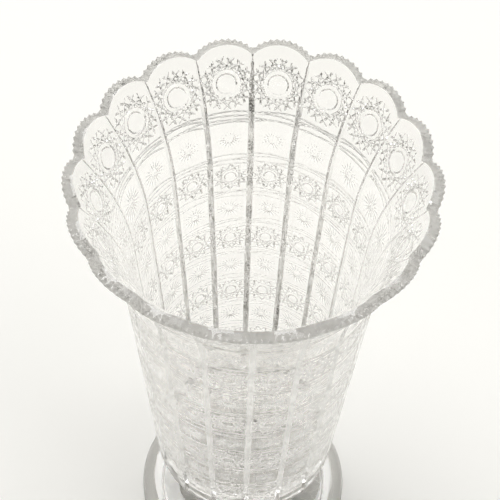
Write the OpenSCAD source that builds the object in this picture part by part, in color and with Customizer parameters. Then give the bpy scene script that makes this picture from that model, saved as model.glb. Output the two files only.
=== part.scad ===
// Cut lead-crystal vase: a tall flared bowl with a scalloped, saw-toothed rim,
// standing on a wafer, a faceted knop and a round star-cut foot.
// Millimetres, +Z up, origin at the centre of the resting plane.

/* [Bowl] */
// Height of the bowl from its seat on the wafer to the rim tips
bowl_h = 256; // [200:1:320]
// Height of the bowl's lower edge above its seat
edge_h = 18; // [12:1:26]
// Radius of the bowl at its lower edge
edge_r = 50; // [40:0.5:60]
// Extra radius that the straight wall gains from lower edge to rim
taper = 15.6; // [8:0.1:24]
// Extra radius of the flared mouth at the rim tips
flare = 19; // [10:0.5:26]
// Height of the flared mouth, measured down from the rim tips
flare_h = 70; // [40:1:100]
// Power of the flare curve
flare_pow = 2.3; // [1.6:0.1:3]
// Wall thickness, square to the wall
wall = 5; // [3.5:0.1:7]
// Thickness of the solid floor at the middle of the bowl
floor_t = 27; // [22:0.5:34]
// Radius of the rounded corner between the floor and the inside wall
corner_r = 12; // [6:0.5:18]
// Radius of the flat seat under the bowl
seat_r = 17; // [13:0.5:22]

/* [Rim] */
// Number of cut columns, and so of rim scallops
columns = 18; // [10:2:24]
// Depth of a scallop, measured along the wall
scallop_d = 5; // [4:0.5:11]
// Number of saw teeth on one scallop
teeth = 10; // [6:2:14]
// Depth of a saw tooth
tooth_d = 1.2; // [0.6:0.1:2]

/* [Cutting] */
// Width of the upright cut between two columns
rib_w = 2.2; // [1.2:0.1:3.4]
// Depth of the upright cut
rib_d = 0.9; // [0.4:0.1:1.5]
// Distance from the rim tips down to the first ring of the wall
ring_drop = 37; // [30:1:46]
// Height of the first row under that ring
row_h = 25.1; // [18:0.1:32]
// How much lower each row is than the one above it
row_less = 0.5; // [0:0.1:1]
// Number of rings cut round the wall
rings = 9; // [3:1:9]
// Width of the ring cut
ring_w = 1.6; // [0.8:0.1:2.6]
// Depth of the ring cut
ring_d = 0.7; // [0.3:0.1:1.2]
// Distance from the rim tips down to the middle of the large stars
star_drop = 20.5; // [17:0.5:24]
// Diameter of the round button of a large star
button_d = 11; // [7:0.5:14]
// Diameter of the round button of a small star
small_button_d = 6.4; // [4:0.2:8]
// Width of the groove round a button
groove_w = 0.9; // [0.5:0.1:1.4]
// Depth of the groove round a button
groove_d = 0.7; // [0.3:0.1:1.2]

/* [Stem] */
// Thickness of the wafer between bowl and knop
wafer_t = 5; // [3:0.5:8]
// Radius of the wafer
wafer_r = 19; // [15:0.5:26]
// Height of the knop
knop_h = 26; // [18:1:36]
// Radius of the knop's round blank
knop_r = 23; // [19:0.5:28]
// Number of facets round the knop
knop_facets = 12; // [6:2:12]
// Depth of the knop's facets, measured in from the round blank
facet_d = 1.8; // [0.6:0.1:2.4]

/* [Foot] */
// Diameter of the foot
foot_d = 122; // [100:1:150]
// Height of the foot at its middle
foot_h = 18; // [13:0.5:26]
// Thickness of the foot at its rounded edge
foot_edge = 7.5; // [5:0.5:10]
// Radius of the foot's top seat for the knop
foot_seat_r = 17; // [12:0.5:20]
// Width of the flat ring that the vase rests on
rest_w = 8; // [5:0.5:12]
// Depth of the hollow inside the resting ring
hollow_d = 1.6; // [0.8:0.1:2.5]
// Number of rays in the star under the foot
rays = 24; // [12:2:32]
// Depth of a ray at its deepest
ray_d = 2.4; // [1:0.1:3]

/* [Hidden] */
$fn = 128;
foot_r = foot_d / 2;
wafer_z = foot_h + knop_h;
bowl_z = wafer_z + wafer_t;
flare_z = bowl_h - flare_h;
step = 360 / columns;
crystal = [0.86, 0.88, 0.88, 0.55];
over = 2;

// Radius of the bare outer wall at a height above the bowl's seat
function lift(z) = max(0, z - flare_z) / flare_h;
function r_out(z) = edge_r + taper * (z - edge_h) / (bowl_h - edge_h) + flare * pow(lift(z), flare_pow);
// Slope of that wall, radius gained per height
function slope(z) = taper / (bowl_h - edge_h) + flare * flare_pow / flare_h * pow(lift(z), flare_pow - 1);
// Radius of the inside, one wall thickness in from the outside
function r_in(z) = r_out(z) - wall * sqrt(1 + pow(slope(z), 2));
// Height of ring number i, counted down from the rim
function ring_z(i) = bowl_h - ring_drop - row_h * i + row_less * i * (i - 1) / 2;
// Heights at which the wall's profile has a corner, from z0 up
function wall_steps(z0) = concat([z0, flare_z], [for (i = [1 : 10]) flare_z + flare_h * i / 10]);
// Corners of the ring cuts that fit between the lower edge and the rim
ring_list = [for (i = [rings - 1 : -1 : 0]) if (ring_z(i) - ring_w > edge_h) ring_z(i)];
ring_pts = [for (z = ring_list) each [[r_out(z - ring_w / 2), z - ring_w / 2],
    [r_out(z) - ring_d, z], [r_out(z + ring_w / 2), z + ring_w / 2]]];
plain_pts = [for (z = wall_steps(edge_h)) if (min([for (q = ring_list) abs(q - z)]) > ring_w / 2) [r_out(z), z]];
// Outer corners from the lower edge to the rim, sorted by height
function merge(a, b, i = 0, j = 0) = i >= len(a) && j >= len(b) ? [] :
    j >= len(b) || (i < len(a) && a[i].y < b[j].y) ? concat([a[i]], merge(a, b, i + 1, j)) :
    concat([b[j]], merge(a, b, i, j + 1));

module bowl_blank() {
    floor_z = floor_t;
    inner = [for (z = concat([floor_z + corner_r], [for (q = wall_steps(edge_h)) if (q >= flare_z) q])) [r_in(z), z]];
    corner = [for (a = [15 : 15 : 90]) [r_in(floor_z + corner_r) - corner_r + corner_r * cos(a),
        floor_z + corner_r - corner_r * sin(a)]];
    under = [for (a = [0 : 10 : 80]) [seat_r + (edge_r - seat_r) * sin(a), edge_h * (1 - cos(a))]];
    outer = merge(plain_pts, ring_pts);
    rotate_extrude()
        polygon(concat([[0, 0]], under, outer, [for (i = [len(inner) - 1 : -1 : 0]) inner[i]], corner, [[0, floor_z]]));
}

// The gap between two scallops: an arc from each side, cut into saw teeth
module scallop_gap() {
    half_w = r_out(bowl_h) * sin(step / 2);
    arc_r = (half_w * half_w + scallop_d * scallop_d) / (2 * scallop_d);
    sweep = asin(half_w / arc_r);
    tooth_pts = [for (i = [0 : teeth]) let (a = sweep * (1 - i / teeth), r = arc_r - (i % 2 == 1 ? tooth_d : 0))
        [half_w - r * sin(a), r * cos(a) - arc_r]];
    left = [for (i = [teeth : -1 : 1]) [-tooth_pts[i].x, tooth_pts[i].y]];
    valley_z = bowl_h - scallop_d * cos(atan(slope(bowl_h)));
    tilt = atan(slope(valley_z));
    translate([r_out(bowl_h), 0, bowl_h]) rotate([0, tilt, 0]) rotate([90, 0, 90])
        translate([0, 0, -4 * wall])
            linear_extrude(8 * wall)
                polygon(concat(left, tooth_pts, [[half_w, 3 * scallop_d], [-half_w, 3 * scallop_d]]));
}

// An upright channel that follows the outer wall
module rib_cut() {
    ang = rib_w / edge_r * 57.3;
    zs = concat([edge_h - over, edge_h], [for (q = wall_steps(edge_h)) if (q > edge_h) q]);
    rotate([0, 0, -ang / 2]) rotate_extrude(angle = ang)
        polygon(concat([for (z = zs) [r_out(z) - rib_d, z]], [for (i = [len(zs) - 1 : -1 : 0]) [r_out(zs[i]) + over, zs[i]]]));
}

// A round groove that leaves a button standing in its middle
module button_groove(z, d) {
    translate([r_out(z), 0, z]) rotate([0, 90 + atan(slope(z)), 0]) translate([0, 0, -groove_d]) difference() {
        cylinder(h = groove_d + over, r = d / 2 + groove_w);
        translate([0, 0, -over]) cylinder(h = groove_d + 3 * over, r = d / 2);
    }
}

module bowl() {
    color(crystal) translate([0, 0, bowl_z]) difference() {
        bowl_blank();
        for (i = [0 : columns - 1]) rotate([0, 0, 90 + i * step]) {
            scallop_gap();
            rib_cut();
            rotate([0, 0, step / 2]) button_groove(bowl_h - star_drop, button_d);
            for (k = [1 : 2 : rings - 2]) if (ring_z(k + 1) - ring_w > edge_h) rotate([0, 0, step / 2])
                button_groove((ring_z(k) + ring_z(k + 1)) / 2, small_button_d);
        }
    }
}

module wafer() {
    color(crystal) translate([0, 0, wafer_z]) rotate_extrude() {
        square([wafer_r - wafer_t / 2, wafer_t]);
        translate([wafer_r - wafer_t / 2, wafer_t / 2]) circle(d = wafer_t);
    }
}

// A ball cut flat at top and bottom, with a belt of upright facets round its middle
module knop() {
    ball_r = knop_r;
    color(crystal) translate([0, 0, foot_h + knop_h / 2]) intersection() {
        sphere(r = ball_r);
        translate([0, 0, -knop_h / 2]) cylinder(h = knop_h, r = 2 * ball_r);
        cylinder(h = 2 * knop_h, r = (ball_r - facet_d) / cos(180 / knop_facets), $fn = knop_facets, center = true);
    }
}

module foot_blank() {
    half = foot_edge / 2;
    top = [for (i = [0 : 8]) let (t = i / 8)
        [foot_r - half - (foot_r - half - foot_seat_r) * t, foot_edge + (foot_h - foot_edge) * pow(t, 1.8)]];
    edge = [for (a = [-60 : 15 : 75]) [foot_r - half + half * cos(a), half + half * sin(a)]];
    rotate_extrude()
        polygon(concat([[0, hollow_d], [foot_r - half - rest_w - hollow_d, hollow_d], [foot_r - half - rest_w, 0],
            [foot_r - half, 0]], edge, top, [[0, foot_h]]));
}

// One ray of the star: a three-sided groove that deepens to its middle
module ray_cut() {
    len_r = foot_r - foot_edge / 2 - rest_w - hollow_d - 1;
    rotate([90, 0, 90]) linear_extrude(len_r)
        polygon([[-ray_d * 0.8, hollow_d - ray_d], [ray_d * 0.8, hollow_d - ray_d], [0, hollow_d + ray_d * 0.5]]);
}

module foot() {
    color(crystal) difference() {
        foot_blank();
        for (i = [0 : rays - 1]) rotate([0, 0, (i + 0.5) * 360 / rays]) ray_cut();
    }
}

bowl();
wafer();
knop();
foot();
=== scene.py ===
import math

import bpy
import numpy as np
from mathutils import Matrix, Vector


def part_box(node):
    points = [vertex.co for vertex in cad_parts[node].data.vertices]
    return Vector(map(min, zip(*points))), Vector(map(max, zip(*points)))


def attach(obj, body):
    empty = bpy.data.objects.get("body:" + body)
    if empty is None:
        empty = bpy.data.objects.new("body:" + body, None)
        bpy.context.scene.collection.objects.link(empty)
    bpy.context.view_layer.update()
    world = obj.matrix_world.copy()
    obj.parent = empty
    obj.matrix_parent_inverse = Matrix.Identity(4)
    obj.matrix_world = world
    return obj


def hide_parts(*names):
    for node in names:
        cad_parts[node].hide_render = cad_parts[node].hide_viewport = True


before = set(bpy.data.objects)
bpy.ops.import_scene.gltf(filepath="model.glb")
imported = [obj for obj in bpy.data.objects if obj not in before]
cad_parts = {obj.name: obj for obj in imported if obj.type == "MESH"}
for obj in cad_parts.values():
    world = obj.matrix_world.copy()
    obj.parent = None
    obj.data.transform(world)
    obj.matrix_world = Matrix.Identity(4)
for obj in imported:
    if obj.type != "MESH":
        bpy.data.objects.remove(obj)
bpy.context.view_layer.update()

# ---- Bowl: the wall and its cuts ------------------------------------------------------------
# One thick gather of lead crystal, blown in a mould to a straight taper with a flared mouth, then
# cut all over on stone wheels and polished in acid. The outside is made as one sheet for each of
# the eighteen cut columns, and neighbours meet in the middle of the upright cut between them.

# Sizes are in millimetres; a run is a length along the wall, measured up from its lower edge.
COLUMNS = 18
HALF_COLUMN = math.pi / COLUMNS
SEAT_Z, RIM_Z = (corner[2] * 1000 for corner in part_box("bowl"))
EDGE_H = 18
EDGE_Z = SEAT_Z + EDGE_H
EDGE_R = 50
TAPER = 15.6
FLARE = 19
FLARE_H = 70
FLARE_POWER = 2.3
WALL = 5
SCALLOP_D = 5
RIM_SLANT = 1.4
TEETH = 10
TOOTH_D = 1.1


def wall_radius(z):
    """Outer radius at height z: the edge radius, a straight taper, and a power curve in the flare."""
    lift = np.clip(z - (RIM_Z - FLARE_H), 0, None) / FLARE_H
    return EDGE_R + TAPER * (z - EDGE_Z) / (RIM_Z - EDGE_Z) + FLARE * lift**FLARE_POWER


def wall_lean(z):
    """Angle of the wall from upright: the arctangent of the radius gained per height."""
    lift = np.clip(z - (RIM_Z - FLARE_H), 0, None) / FLARE_H
    gain = TAPER / (RIM_Z - EDGE_Z) + FLARE * FLARE_POWER / FLARE_H * lift ** (FLARE_POWER - 1)
    return np.arctan(gain)


# The wall along its height, for turning heights into runs and back.
heights = np.linspace(EDGE_Z, RIM_Z + 4, 2000)
runs = np.concatenate([[0], np.cumsum(np.diff(heights) / np.cos(wall_lean(heights[1:])))])


def run_at(z):
    """Distance along the wall from the lower edge up to height z, summed in small steps."""
    return np.interp(z, heights, runs)


def on_wall(angle, run, depth):
    """Points in metres: at this angle and run on the outer wall, then moved in by depth, square to the wall."""
    z = np.interp(run, runs, heights)
    lean = wall_lean(z)
    r = wall_radius(z) - depth * np.cos(lean)
    up = z + depth * np.sin(lean)
    return np.stack([r * np.cos(angle), r * np.sin(angle), up], axis=-1) * 0.001


# The scalloped edge: each column ends in an arc whose ends meet its neighbours' at the valleys,
# and the arc is notched into saw teeth with a mitre wheel. The inner edge of the rim is its top,
# so the outer tips lie lower, by the lean of the wall less the slant that the rim is ground to.
CELLS = 70
tip_z = RIM_Z - WALL * math.sin(wall_lean(RIM_Z)) + RIM_SLANT * math.cos(wall_lean(RIM_Z))
tip_run = float(run_at(tip_z))
half_chord = float(wall_radius(tip_z)) * math.sin(HALF_COLUMN)
arc_r = (half_chord**2 + SCALLOP_D**2) / (2 * SCALLOP_D)
arc_half = math.asin(half_chord / arc_r)
arc = np.linspace(-arc_half, arc_half, CELLS + 1)
across = np.sin(arc) / math.sin(arc_half)
tooth = np.abs((np.arange(CELLS + 1) / CELLS * TEETH) % 1.0 - 0.5) * 2
edge_arc_r = arc_r - TOOTH_D * (1 - tooth)
edge_across = edge_arc_r * np.sin(arc) / half_chord
edge_run = tip_run + edge_arc_r * np.cos(arc) - arc_r


def groove(distance, width, depth):
    """A mitre cut: full depth where the distance to its line is nought, rising straight to the surface."""
    return depth * np.clip(1 - np.abs(distance) / (width / 2), 0, 1)


CUT_W = 1.0
BUTTON_SHARE = 0.72
BUTTON_RING_D = 0.8
RING_IN_W = 0.8
RING_OUT_W = 2.2
DISH_D = 0.3
TIP_FADE = 2.5


def star(x, y, hub, reach, points, turn, depth):
    """A hobstar: straight cuts that touch the hub circle, tip to tip, round a dished button with its own ring cut."""
    cut = np.zeros_like(x)
    half = math.sqrt(reach**2 - hub**2)
    for i in range(points):
        a = turn + 2 * math.pi * i / points
        off = x * math.cos(a) + y * math.sin(a) - hub
        along = np.abs(-x * math.sin(a) + y * math.cos(a))
        cut = np.maximum(cut, groove(off, CUT_W, depth) * np.clip((half - along) / TIP_FADE, 0, 1))
    rho = np.hypot(x, y)
    button = BUTTON_SHARE * hub
    rise = np.where(rho < button, (button - rho) / RING_IN_W, (rho - button) / RING_OUT_W)
    ring = BUTTON_RING_D * np.clip(1 - rise, 0, 1)
    dish = DISH_D * np.clip(1 - (rho / button) ** 2, 0, 1)
    return np.where(rho < button, np.maximum(dish, ring), np.maximum(cut, ring))


FAINT_REACH = 10
FAINT_LINES = 9
FAINT_RING_R = 2.0
FAINT_W = 0.9
FAINT_D = 0.5


def faint_star(x, y):
    """A fine star: shallow cuts through one centre, fading to their tips, with a small ring in the middle."""
    cut = np.zeros_like(x)
    for i in range(FAINT_LINES):
        a = math.pi / (2 * FAINT_LINES) + math.pi * i / FAINT_LINES
        off = x * math.cos(a) + y * math.sin(a)
        along = np.abs(-x * math.sin(a) + y * math.cos(a))
        cut = np.maximum(cut, groove(off, FAINT_W, FAINT_D) * np.clip(1 - along / FAINT_REACH, 0, 1))
    return np.maximum(cut, groove(np.hypot(x, y) - FAINT_RING_R, FAINT_W, FAINT_D))


# Each band of four lines lies at a ring height, and each row of stars half way between two of them.
RING_DROP = 37
ROW_H = 25.1
ROW_LESS = 0.5
RINGS = 9
RING_Z = [RIM_Z - RING_DROP - ROW_H * i + ROW_LESS * i * (i - 1) / 2 for i in range(RINGS)]
LINE_OFFSETS = (-3.3, -1.3, 0.6, 2.4)
LINE_W = 0.95
STAR_Z = RIM_Z - 20.5
BIG_HUB = 7.4
BIG_REACH = 14.4
BIG_POINTS = 15
BIG_D = 0.75
SMALL_HUB = 4.7
SMALL_REACH = 10.3
SMALL_POINTS = 12
UPRIGHT_W = 3.3
UPRIGHT_D = 1.5
END_FADE = 1.2


def cut_depth(u, run, end_run, hand):
    """Depth of the cuts at u across the column (-1 to 1) and this run, the deepest of all that pass there."""
    z = np.interp(run, runs, heights)
    x = u * HALF_COLUMN * wall_radius(z)
    slip = hand.uniform(-0.4, 0.4, (20, 2))
    turn = hand.uniform(0, 1, 20)
    big_x, big_y = x - slip[0, 0], run - run_at(STAR_Z) - slip[0, 1]
    depth = star(big_x, big_y, BIG_HUB, BIG_REACH, BIG_POINTS, turn[0], BIG_D)
    for i, ring in enumerate(RING_Z):
        line_d = 0.66 - 0.02 * i
        for offset in LINE_OFFSETS:
            bow, slant = hand.uniform(-1.5, 1.5), hand.uniform(-0.9, 0.9)
            curve = run_at(ring) + offset + bow * (1 - u**2) + slant * u
            depth = np.maximum(depth, groove(run - curve, LINE_W, line_d))
        if i == RINGS - 1:
            break
        middle = run_at((ring + RING_Z[i + 1]) / 2)
        row_x, row_y = x - slip[i, 0], run - middle - slip[i, 1]
        if i % 2:
            row = star(row_x, row_y, SMALL_HUB, SMALL_REACH, SMALL_POINTS, turn[i], 0.78 - 0.05 * i)
        else:
            row = faint_star(row_x, row_y)
        depth = np.maximum(depth, row)
    start = end_run - run
    side = (1 - np.abs(u)) * HALF_COLUMN * wall_radius(z)
    width = 0.8 + 2.2 * np.clip(start / 22, 0, 1) + 0.3 * np.clip(start / 120, 0, 1)
    upright = UPRIGHT_D * np.clip(1 - side / (width / 2), 0, 1) * width / UPRIGHT_W
    depth = np.maximum(depth, upright)
    return depth * np.clip(start / END_FADE, 0, 1) * np.clip(run / END_FADE, 0, 1)


def grid_mesh(name, points, closed=False, tip=None, sharp=None):
    """A mesh on a grid of points, row by row. Rows may close into rings, and the last ring onto a tip point."""
    rows, cols = points.shape[:2]
    index = np.arange(rows * cols).reshape(rows, cols)
    nxt = np.roll(index, -1, axis=1) if closed else index[:, 1:]
    cur = index if closed else index[:, :-1]
    quads = np.stack([cur[:-1], nxt[:-1], nxt[1:], cur[1:]], axis=-1).reshape(-1, 4)
    verts = points.reshape(-1, 3)
    loops, sizes = quads.ravel(), np.full(len(quads), 4)
    if tip is not None:
        fan = np.stack([cur[-1], nxt[-1], np.full(cols, rows * cols)], axis=-1)
        verts = np.concatenate([verts, [tip]])
        loops, sizes = np.concatenate([loops, fan.ravel()]), np.concatenate([sizes, np.full(cols, 3)])
    mesh = bpy.data.meshes.new(name)
    mesh.vertices.add(len(verts))
    mesh.vertices.foreach_set("co", verts.astype(np.float32).ravel())
    mesh.loops.add(len(loops))
    mesh.loops.foreach_set("vertex_index", loops.astype(np.int32))
    mesh.polygons.add(len(sizes))
    mesh.polygons.foreach_set("loop_start", np.concatenate([[0], np.cumsum(sizes)[:-1]]).astype(np.int32))
    mesh.polygons.foreach_set("use_smooth", np.ones(len(sizes), dtype=bool))
    mesh.update(calc_edges=True)
    if sharp:
        mesh.set_sharp_from_angle(angle=math.radians(sharp))
    piece = bpy.data.objects.new(name, mesh)
    bpy.context.scene.collection.objects.link(piece)
    return piece


def crystal(name, tint, ripple, haze, clarity=1.0):
    """Lead crystal: high index, with a faint ripple of the polish and a faint change in its gloss."""
    mat = bpy.data.materials.new(name)
    mat.use_nodes = True
    nodes, links = mat.node_tree.nodes, mat.node_tree.links
    glass = nodes["Principled BSDF"]
    glass.inputs["Base Color"].default_value = (*tint, 1)
    glass.inputs["Transmission Weight"].default_value = clarity
    glass.inputs["IOR"].default_value = 1.545
    place = nodes.new("ShaderNodeTexCoord")
    waves = nodes.new("ShaderNodeTexNoise")
    waves.inputs["Scale"].default_value = 140
    waves.inputs["Detail"].default_value = 3
    links.new(place.outputs["Object"], waves.inputs["Vector"])
    bump = nodes.new("ShaderNodeBump")
    bump.inputs["Strength"].default_value = ripple
    bump.inputs["Distance"].default_value = 0.0004
    links.new(waves.outputs["Fac"], bump.inputs["Height"])
    links.new(bump.outputs["Normal"], glass.inputs["Normal"])
    smears = nodes.new("ShaderNodeTexNoise")
    smears.inputs["Scale"].default_value = 60
    smears.inputs["Detail"].default_value = 6
    links.new(place.outputs["Object"], smears.inputs["Vector"])
    gloss = nodes.new("ShaderNodeMapRange")
    gloss.inputs["From Min"].default_value = 0.4
    gloss.inputs["From Max"].default_value = 0.75
    gloss.inputs["To Min"].default_value = 0.0
    gloss.inputs["To Max"].default_value = haze
    links.new(smears.outputs["Fac"], gloss.inputs["Value"])
    links.new(gloss.outputs["Result"], glass.inputs["Roughness"])
    return mat


CLEAR = (0.99, 0.985, 0.972)
cut_crystal = crystal("cut_crystal", CLEAR, 0.12, 0.02)


def place_piece(piece, mat, slot, *nodes):
    """Gives a finished piece its material, and lets it ride on the vase's one body."""
    piece.data.materials.append(mat)
    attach(piece, "root")
    if nodes:
        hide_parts(*nodes)


# The mesh rows lie closest at the bands and furthest apart in the plainer rows. The top of each sheet
# bends from level rows to the arc of the rim.
ROW_STEP = 0.37
BAND_STEP = 0.27
PANEL_STEP = 0.55
BAND_REACH = 4.8
BEND_DROP = 34
FINE_STEP = 0.05
ring_runs = np.array([float(run_at(z)) for z in RING_Z])
fine_run = np.arange(0, tip_run, FINE_STEP)
to_band = np.min(np.abs(fine_run[:, None] - ring_runs), axis=1)
panel = np.searchsorted(-ring_runs, -fine_run) % 2 == 1
pitch = np.where(to_band < BAND_REACH, BAND_STEP, np.where(panel, PANEL_STEP, ROW_STEP))
row_count = np.concatenate([[0], np.cumsum(FINE_STEP / pitch[1:])])
rows = int(row_count[-1])
bend_run = float(run_at(RIM_Z - BEND_DROP))
level_run = np.interp(np.linspace(0, row_count[-1], rows), row_count, fine_run)[:, None]
upper = np.clip((level_run - bend_run) / (tip_run - bend_run), 0, 1)
sheet_run = np.where(upper > 0, bend_run + upper * (edge_run - bend_run), level_run + 0 * across)
sheet_u = across * (1 - upper**4) + edge_across * upper**4
chance = np.random.default_rng(18)
for k in range(COLUMNS):
    depth = cut_depth(sheet_u, sheet_run, edge_run, chance)
    middle = math.pi / 2 + (2 * k + 1) * HALF_COLUMN
    points = on_wall(middle + sheet_u * HALF_COLUMN, sheet_run, depth)
    outside = grid_mesh(f"bowl_column_{k + 1:02d}", points, sharp=25)
    place_piece(outside, cut_crystal, "cut_crystal")

# ---- Bowl: the rim, the inside and the underside --------------------------------------------
# The rim is ground at a slight slant to the wall and left satin, and its teeth are notched into the
# outer third. The inside is as blown: smooth, with a rounded corner down to a thick floor. The
# underside turns in to the seat where the hot wafer was joined.

FLOOR_Z = SEAT_Z + 27
CORNER_R = 12
SEAT_R = 17

TOOTH_SHARE = 0.35
CROWN = 0.25


def all_round(one):
    """The angles of one column's positions across (-1 to 1), repeated for every column round the bowl."""
    return math.pi / 2 + (np.concatenate([one[:-1] + 2 * k for k in range(COLUMNS)]) + 1) * HALF_COLUMN


ring_angle = all_round(edge_across)
plain_angle = all_round(across)
ring_run = np.tile(edge_run[:-1], COLUMNS)

through = np.array([0, 0.08, 0.2, TOOTH_SHARE, 0.7, 0.92, 1.0])[:, None]
crown = CROWN * np.sqrt(np.clip(1 - (2 * through - 1) ** 2, 0, 1))
smooth_run = np.tile(edge_run[:-1] + TOOTH_D * (1 - tooth[:-1]), COLUMNS)
rim_run = ring_run + (smooth_run - TOOTH_D / 2 - ring_run) * np.clip(through / TOOTH_SHARE, 0, 1)
rim_rows = on_wall(ring_angle, rim_run + crown - RIM_SLANT * through, WALL * through)
corner_run = float(run_at(FLOOR_Z + CORNER_R))
fall = np.linspace(0, 1, 32)[1:, None]
blend = np.clip(fall * 5, 0, 1)
inner_angle = ring_angle * (1 - blend) + plain_angle * blend
inner_run = rim_run[-1] - RIM_SLANT + fall * (corner_run - rim_run[-1] + RIM_SLANT)
inner_rows = on_wall(inner_angle, inner_run, WALL + 0 * inner_run)
corner_r = float(np.hypot(inner_rows[-1, 0, 0], inner_rows[-1, 0, 1])) * 1000
corner_z = float(inner_rows[-1, 0, 2]) * 1000
turn = np.linspace(0, math.pi / 2, 9)[1:]
floor_r = np.concatenate([corner_r - CORNER_R * (1 - np.cos(turn)),
                          (corner_r - CORNER_R) * np.array([0.8, 0.5, 0.2])])
floor_z = np.concatenate([corner_z - (corner_z - FLOOR_Z) * np.sin(turn), [FLOOR_Z] * 3])


def turned(radius, height, angle):
    """A turned surface in metres: one ring of points at each radius and height."""
    r, z = radius[:, None], height[:, None] + 0 * angle
    return np.stack([r * np.cos(angle), r * np.sin(angle), z], axis=-1) * 0.001


floor_rows = turned(floor_r, floor_z, plain_angle)
ground_crystal = crystal("ground_crystal", (0.6, 0.594, 0.574), 0.9, 0.4, clarity=0.7)
rim = grid_mesh("bowl_rim", rim_rows, closed=True, sharp=50)
place_piece(rim, ground_crystal, "cut_crystal")
inside = grid_mesh("bowl_inside", np.concatenate([rim_rows[-1:], inner_rows, floor_rows]), closed=True,
                   tip=[0, 0, FLOOR_Z * 0.001], sharp=50)
place_piece(inside, cut_crystal, "cut_crystal", "bowl")

sweep = np.radians(np.arange(0, 91, 7.5))
under_r = SEAT_R + (EDGE_R - SEAT_R) * np.sin(sweep)
under_z = SEAT_Z + (EDGE_Z - SEAT_Z) * (1 - np.cos(sweep))
under = grid_mesh("bowl_underside", turned(under_r, under_z, plain_angle), closed=True)
place_piece(under, cut_crystal, "cut_crystal")

# ---- Wafer ----------------------------------------------------------------------------------
# A bead of clear crystal, pressed flat while hot between the bowl and the knop. Its two faces are
# fused to theirs, so only its rounded edge is a surface.

clear_crystal = crystal("clear_crystal", CLEAR, 0.08, 0.02)
WAFER_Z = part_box("wafer")[0][2] * 1000
round_angle = np.linspace(0, 2 * math.pi, 288, endpoint=False)
roll = np.linspace(-math.pi / 2, math.pi / 2, 17)
wafer_half = (SEAT_Z - WAFER_Z) / 2
WAFER_BULGE = 2
wafer_r = SEAT_R + WAFER_BULGE * np.cos(roll)
wafer_z = WAFER_Z + wafer_half + wafer_half * np.sin(roll)
wafer = grid_mesh("wafer_bead", turned(wafer_r, wafer_z, round_angle), closed=True)
place_piece(wafer, clear_crystal, "clear_crystal", "wafer")

# ---- Knop -----------------------------------------------------------------------------------
# The short stem: a ball of crystal cut with three rows of twelve flat facets, like a honeycomb,
# and fused to the wafer above and the foot below.

KNOP_Z, KNOP_TOP = (corner[2] * 1000 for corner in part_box("knop"))
KNOP_R = 23
knop_half = (KNOP_TOP - KNOP_Z) / 2
KNOP_FACETS = 12
end_tilt = math.asin(knop_half / KNOP_R)
tilt = np.linspace(-end_tilt, end_tilt, 61)[:, None]
HALF_FACET = math.pi / KNOP_FACETS


def facet_reach(angle, tilt, rows):
    """Distance from the ball's middle to its skin, the nearest of the ball and every facet plane that way."""
    reach = np.full(np.broadcast(angle, tilt).shape, float(KNOP_R))
    for height, shift, apothem in rows:
        turn = (angle + shift + HALF_FACET) % (2 * HALF_FACET) - HALF_FACET
        facing = np.cos(tilt) * np.cos(height) * np.cos(turn) + np.sin(tilt) * np.sin(height)
        reach = np.minimum(reach, apothem / facing)
    return reach


facet_rows = [(0, 0, 21.2), (0.42, HALF_FACET, 21.7), (-0.42, HALF_FACET, 21.7)]
reach = facet_reach(round_angle, tilt, facet_rows)
knop_r = reach * np.cos(tilt)
knop_z = np.clip(reach * np.sin(tilt), -knop_half, knop_half)
knop_z[0], knop_z[-1] = -knop_half, knop_half
ball = np.stack([knop_r * np.cos(round_angle), knop_r * np.sin(round_angle), knop_z + KNOP_Z + knop_half], axis=-1)
low_ring = turned(np.array([SEAT_R]), np.array([KNOP_Z]), round_angle)
high_ring = turned(np.array([SEAT_R]), np.array([KNOP_TOP]), round_angle)
knop = grid_mesh("knop_ball", np.concatenate([low_ring, ball * 0.001, high_ring]), closed=True, sharp=9)
place_piece(knop, clear_crystal, "clear_crystal", "knop")

# ---- Foot -----------------------------------------------------------------------------------
# A round foot of clear crystal, pressed and then polished, with a curved bevel round its edge and a
# star of long tapered rays cut into the hollow underneath. It stands on the flat ring round the hollow.

FOOT_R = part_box("foot")[1][0] * 1000
FOOT_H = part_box("foot")[1][2] * 1000
FOOT_EDGE = 7.5
REST_W = 8
HOLLOW_D = 1.6
RAYS = 24
RAY_D = 1.5
BEVEL_W = 8
BEVEL_CURVE = 1.43
TOE_R = 1.8

hollow_r = FOOT_R - FOOT_EDGE / 2 - REST_W - HOLLOW_D
spoke = np.linspace(0.6, hollow_r, 70)
foot_angle = np.linspace(0, 2 * math.pi, RAYS * 24, endpoint=False)
from_ray = np.abs((foot_angle / (2 * math.pi) * RAYS) % 1.0 - 0.5) * 2
ray_shape = np.interp(spoke, [0, 0.86 * hollow_r, hollow_r - 0.3], [0, 1, 0])[:, None]
ray_half = np.clip(0.95 * ray_shape + 0.02, 0.02, 1)
ray_cut = RAY_D * ray_shape * np.clip(1 - from_ray / ray_half, 0, 1)
hollow = np.stack([spoke[:, None] * np.cos(foot_angle), spoke[:, None] * np.sin(foot_angle),
                   HOLLOW_D + ray_cut + 0 * foot_angle], axis=-1) * 0.001
toe = np.radians(np.arange(-90, 1, 10))
brow = np.radians(np.arange(6, 91, 6))
top_t = np.linspace(0, 1, 26)[1:]
outer_r = np.concatenate([[hollow_r + HOLLOW_D, FOOT_R - TOE_R - 0.5], FOOT_R - TOE_R + TOE_R * np.cos(toe),
                          FOOT_R - BEVEL_W + BEVEL_W * np.abs(np.cos(brow)) ** BEVEL_CURVE,
                          FOOT_R - BEVEL_W - (FOOT_R - BEVEL_W - SEAT_R) * top_t])
outer_z = np.concatenate([[0, 0], TOE_R + TOE_R * np.sin(toe),
                          TOE_R + (FOOT_EDGE - TOE_R) * np.sin(brow) ** BEVEL_CURVE,
                          FOOT_EDGE + (FOOT_H - FOOT_EDGE) * top_t**1.8])
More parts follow.
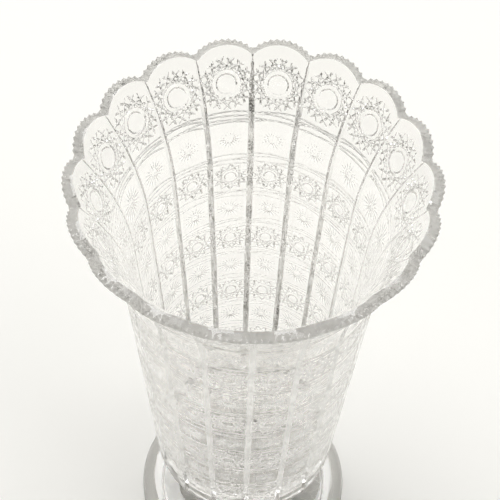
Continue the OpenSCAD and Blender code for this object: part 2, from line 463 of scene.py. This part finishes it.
foot_points = np.concatenate([hollow, turned(outer_r, outer_z, foot_angle)])
foot = grid_mesh("foot_disc", foot_points[::-1, ::-1], closed=True, tip=[0, 0, HOLLOW_D * 0.001], sharp=40)
place_piece(foot, clear_crystal, "clear_crystal", "foot")

# ---- Table, light and camera ----------------------------------------------------------------
# A white table in a dim room, under one large soft box from behind and a weak one from the right, so
# that the clear glass stays bright and its cuts and edges read as soft greys. The table lies a hair
# below the foot, with the film of air that is under real glass; its colour is painted darker away from the vase, a
# painted falloff of light.

TABLE_HALF = 4
AIR_GAP = 0.0003
corners = [(-1, -1), (1, -1), (1, 1), (-1, 1)]
table_mesh = bpy.data.meshes.new("table")
table_mesh.from_pydata([(x * TABLE_HALF, y * TABLE_HALF, -AIR_GAP) for x, y in corners], [], [(0, 1, 2, 3)])
table = bpy.data.objects.new("table", table_mesh)
bpy.context.scene.collection.objects.link(table)
paper = bpy.data.materials.new("paper_with_painted_falloff")
paper.use_nodes = True
paper_nodes, paper_links = paper.node_tree.nodes, paper.node_tree.links
spot = paper_nodes.new("ShaderNodeTexCoord")
distance = paper_nodes.new("ShaderNodeVectorMath")
distance.operation = "LENGTH"
paper_links.new(spot.outputs["Object"], distance.inputs[0])
# Painted falloff of light: the paper's colour goes from near white within half a metre of the vase to dark grey at a
# metre.
painted_light_falloff = paper_nodes.new("ShaderNodeValToRGB")
painted_light_falloff.color_ramp.elements[0].position = 0.5
painted_light_falloff.color_ramp.elements[0].color = (0.92, 0.915, 0.885, 1)
painted_light_falloff.color_ramp.elements[1].position = 1.0
painted_light_falloff.color_ramp.elements[1].color = (0.3, 0.298, 0.29, 1)
paper_links.new(distance.outputs["Value"], painted_light_falloff.inputs["Fac"])
paper_links.new(painted_light_falloff.outputs["Color"], paper_nodes["Principled BSDF"].inputs["Base Color"])
paper_nodes["Principled BSDF"].inputs["Roughness"].default_value = 0.8
table_mesh.materials.append(paper)

room = bpy.data.worlds.new("dim_room")
room.use_nodes = True
bpy.context.scene.world = room
room_nodes, room_links = room.node_tree.nodes, room.node_tree.links
where = room_nodes.new("ShaderNodeTexCoord")
facing = room_nodes.new("ShaderNodeVectorMath")
facing.operation = "DOT_PRODUCT"
facing.inputs[1].default_value = (0.25, -0.3, 0.92)
room_links.new(where.outputs["Generated"], facing.inputs[0])
ramp = room_nodes.new("ShaderNodeValToRGB")
ramp.color_ramp.elements[0].position = 0.05
ramp.color_ramp.elements[0].color = (0.42, 0.405, 0.365, 1)
ramp.color_ramp.elements[1].position = 0.65
ramp.color_ramp.elements[1].color = (0.06, 0.057, 0.05, 1)
room_links.new(facing.outputs["Value"], ramp.inputs["Fac"])
room_links.new(ramp.outputs["Color"], room_nodes["Background"].inputs["Color"])
room_nodes["Background"].inputs["Strength"].default_value = 1.0


def softbox(name, place, aim, size, watts):
    """A square area light at a place, turned to face the point it aims at."""
    light = bpy.data.lights.new(name, "AREA")
    light.size = size
    light.energy = watts
    lamp = bpy.data.objects.new(name, light)
    lamp.location = place
    lamp.rotation_euler = (Vector(aim) - Vector(place)).to_track_quat("-Z", "Y").to_euler()
    bpy.context.scene.collection.objects.link(lamp)


softbox("back_softbox", (-0.2, 0.95, 2.6), (0, 0.1, 0), 2.2, 77)
softbox("fill_softbox", (1.2, -0.5, 2.4), (0, 0, 0), 1.5, 12)

camera_data = bpy.data.cameras.new("camera")
camera_data.lens = 99.4
camera_data.clip_start = 0.01
camera = bpy.data.objects.new("camera", camera_data)
pan = Matrix.Rotation(math.radians(-1.93), 4, "Z")
pitch_up = Matrix.Rotation(math.radians(34.53), 4, "X")
roll_over = Matrix.Rotation(math.radians(2.02), 4, "Z")
camera.matrix_world = Matrix.Translation((-0.0129, -0.3648, 0.7791)) @ pan @ pitch_up @ roll_over
bpy.context.scene.collection.objects.link(camera)
bpy.context.scene.camera = camera
bpy.context.scene.view_settings.view_transform = "Standard"
GLASS_BOUNCES = 40
bpy.context.scene.cycles.max_bounces = GLASS_BOUNCES
bpy.context.scene.cycles.transmission_bounces = GLASS_BOUNCES
bpy.context.scene.cycles.glossy_bounces = GLASS_BOUNCES
bpy.context.scene.cycles.sample_clamp_indirect = 4
